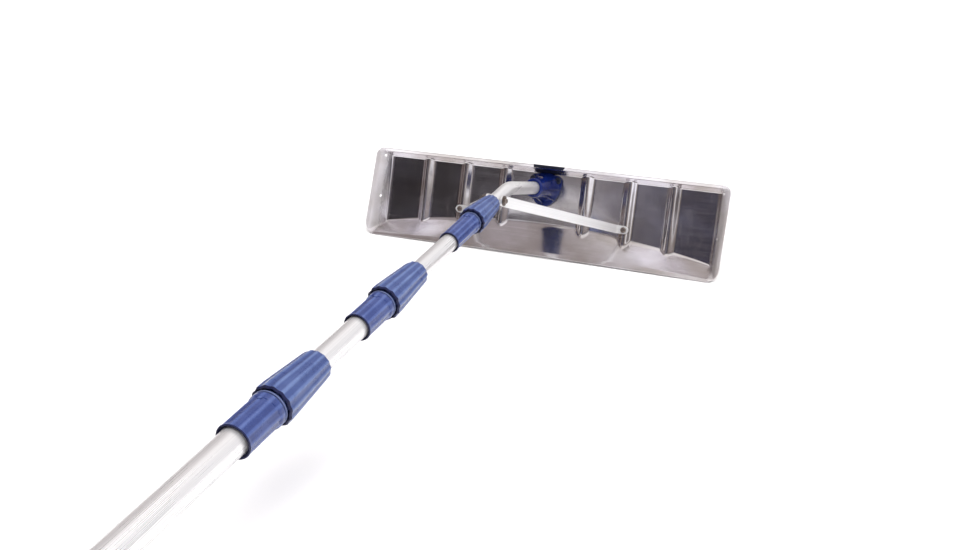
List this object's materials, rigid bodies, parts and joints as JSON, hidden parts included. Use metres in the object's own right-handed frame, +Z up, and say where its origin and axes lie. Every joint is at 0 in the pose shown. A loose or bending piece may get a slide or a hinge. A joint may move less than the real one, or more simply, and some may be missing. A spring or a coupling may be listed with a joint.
{
  "type": "roof snow rake",
  "caption": "Roof snow rake: wide ribbed sheet-metal pan blade braced to a bent head tube, on a telescoping pole with twist locks.",
  "frame": {"origin": "middle of the footprint, on the floor that the blade edge and the end of the pole rest on", "axes": "+X along the blade to the right of the user, +Y from the user to the blade, +Z up"},
  "size_m": [0.61, 2.205, 0.1557],
  "materials": {
    "blade_sheet": "bright pressed aluminium sheet",
    "tube_aluminium": "satin extruded aluminium",
    "brace_aluminium": "flat aluminium bar, fine lengthwise grain",
    "lock_blue": "moulded blue plastic, semi-gloss",
    "socket_navy": "moulded dark navy plastic, glossy",
    "inner_nylon": "natural nylon",
    "ring_plastic": "pale plastic ring",
    "black_plastic": "black plastic",
    "zinc_steel": "zinc-plated steel",
    "black_steel": "black-coated steel",
    "grip_foam": "closed-cell foam rubber"
  },
  "bodies": {
    "pole_1": {"pole_tube_1": "tube_aluminium", "lock_base_1": "lock_blue", "lock_ring_1": "ring_plastic", "hand_grip": "grip_foam", "end_cap": "black_plastic"},
    "pole_2": {"pole_tube_2": "tube_aluminium", "lock_base_2": "lock_blue", "lock_ring_2": "ring_plastic", "guide_bush_1": "inner_nylon"},
    "pole_3": {"pole_tube_3": "tube_aluminium", "lock_base_3": "lock_blue", "lock_ring_3": "ring_plastic", "guide_bush_2": "inner_nylon"},
    "head": {"head_tube": "tube_aluminium", "guide_bush_3": "inner_nylon", "blade_pan": "blade_sheet", "blade_socket": "socket_navy", "rim_clip": "black_plastic", "socket_backing_plate": "zinc_steel", "socket_screw": "zinc_steel", "socket_bolt_left": "black_steel", "socket_bolt_right": "black_steel", "socket_nut_left": "zinc_steel", "socket_nut_right": "zinc_steel", "brace_left": "brace_aluminium", "brace_right": "brace_aluminium", "cross_bolt": "zinc_steel", "cross_nut": "zinc_steel", "cross_washer_left": "zinc_steel", "cross_washer_right": "zinc_steel", "brace_bolt_left": "zinc_steel", "brace_bolt_right": "zinc_steel", "brace_nut_left": "zinc_steel", "brace_nut_right": "zinc_steel", "brace_washer_left": "zinc_steel", "brace_washer_right": "zinc_steel"},
    "collet_1": {"lock_collet_1": "inner_nylon"},
    "nut_1": {"lock_nut_1": "lock_blue"},
    "collet_2": {"lock_collet_2": "inner_nylon"},
    "nut_2": {"lock_nut_2": "lock_blue"},
    "collet_3": {"lock_collet_3": "inner_nylon"},
    "nut_3": {"lock_nut_3": "lock_blue"}
  },
  "joints": [
    {"name": "pole_1_extend", "type": "slide", "parent": "pole_1", "child": "pole_2", "axis": [0, 0.9981, 0.0616], "range_m": [-0.08, 1.08]},
    {"name": "pole_2_extend", "type": "slide", "parent": "pole_2", "child": "pole_3", "axis": [0, 0.9981, 0.0616], "range_m": [-0.09, 1.06]},
    {"name": "pole_3_extend", "type": "slide", "parent": "pole_3", "child": "head", "axis": [0, 0.9981, 0.0616], "range_m": [0, 1.2]},
    {"name": "collet_1_release", "type": "slide", "parent": "pole_1", "child": "collet_1", "axis": [0, 0.9981, 0.0616], "range_m": [0, 0.0025]},
    {"name": "nut_1_twist", "type": "hinge", "parent": "collet_1", "child": "nut_1", "pos_m": [0, 0.33685, 0.10817], "axis": [0, 0.9981, 0.0616], "range_deg": [0, 150]},
    {"name": "collet_2_release", "type": "slide", "parent": "pole_2", "child": "collet_2", "axis": [0, 0.9981, 0.0616], "range_m": [0, 0.0025]},
    {"name": "nut_2_twist", "type": "hinge", "parent": "collet_2", "child": "nut_2", "pos_m": [0, 0.57839, 0.12308], "axis": [0, 0.9981, 0.0616], "range_deg": [0, 150]},
    {"name": "collet_3_release", "type": "slide", "parent": "pole_3", "child": "collet_3", "axis": [0, 0.9981, 0.0616], "range_m": [0, 0.0025]},
    {"name": "nut_3_twist", "type": "hinge", "parent": "collet_3", "child": "nut_3", "pos_m": [0, 0.82293, 0.13817], "axis": [0, 0.9981, 0.0616], "range_deg": [0, 150]}
  ],
  "couplings": [
    {"joint": "collet_1_release", "follows": "nut_1_twist", "m_per_rad": 0.00095493},
    {"joint": "collet_2_release", "follows": "nut_2_twist", "m_per_rad": 0.00095493},
    {"joint": "collet_3_release", "follows": "nut_3_twist", "m_per_rad": 0.00095493}
  ]
}
